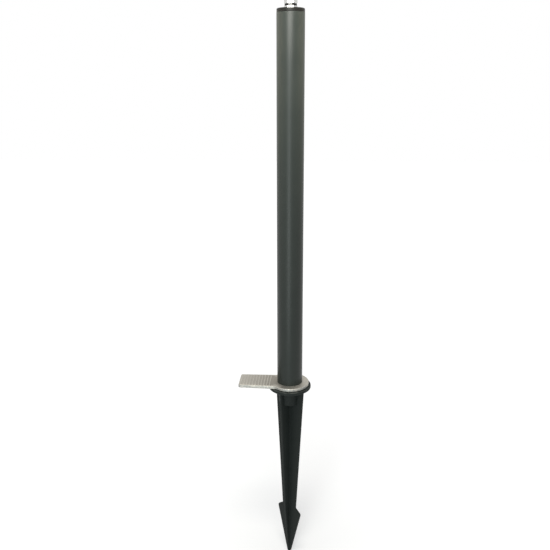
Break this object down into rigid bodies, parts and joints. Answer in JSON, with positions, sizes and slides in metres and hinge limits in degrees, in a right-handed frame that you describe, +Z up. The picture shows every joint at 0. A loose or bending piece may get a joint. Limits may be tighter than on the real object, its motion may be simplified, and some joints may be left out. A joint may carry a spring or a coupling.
{
  "type": "ground spike post",
  "caption": "Round tube post on a finned ground spike with a barbed point, a ribbed foot plate for pushing it in, and a capped top with a threaded stud and nuts.",
  "frame": {"origin": "on the post's axis at the ground line, which is the underside of the spike's flange", "axes": "+Z up along the post, -X along the foot plate's tab at rest"},
  "size_m": [0.1205, 0.071, 0.9455],
  "materials": {
    "post_coat": "satin",
    "cap_plastic": "matte",
    "spike_plastic": "matte",
    "plate_steel": "brushed",
    "zinc_hardware": "bright",
    "spring_steel": "satin",
    "insert_brass": "satin"
  },
  "bodies": {
    "post": {"post_tube": "post_coat", "top_cap": "cap_plastic", "tie_rod": "zinc_hardware", "cap_washer": "zinc_hardware", "clamp_nut": "zinc_hardware", "spike_body": "spike_plastic", "thread_insert": "insert_brass", "lock_washer": "zinc_hardware", "lock_nut": "zinc_hardware"},
    "foot_plate": {"foot_plate": "plate_steel"},
    "spring_washer": {"spring_washer": "spring_steel"},
    "fixture_nut": {"fixture_nut": "zinc_hardware"}
  },
  "joints": [
    {"name": "foot_plate_swivel", "type": "hinge", "parent": "post", "child": "foot_plate", "pos_m": [0, 0, 0.008], "axis": [0, 0, 1], "continuous": true},
    {"name": "spring_washer_lift", "type": "slide", "parent": "post", "child": "spring_washer", "axis": [0, 0, 1], "range_m": [0, 0.009]},
    {"name": "fixture_nut_turn", "type": "hinge", "parent": "spring_washer", "child": "fixture_nut", "pos_m": [0, 0, 0.611], "axis": [0, 0, 1], "range_deg": [0, 2160]}
  ],
  "couplings": [
    {"joint": "spring_washer_lift", "follows": "fixture_nut_turn", "m_per_rad": 0.00023873}
  ]
}
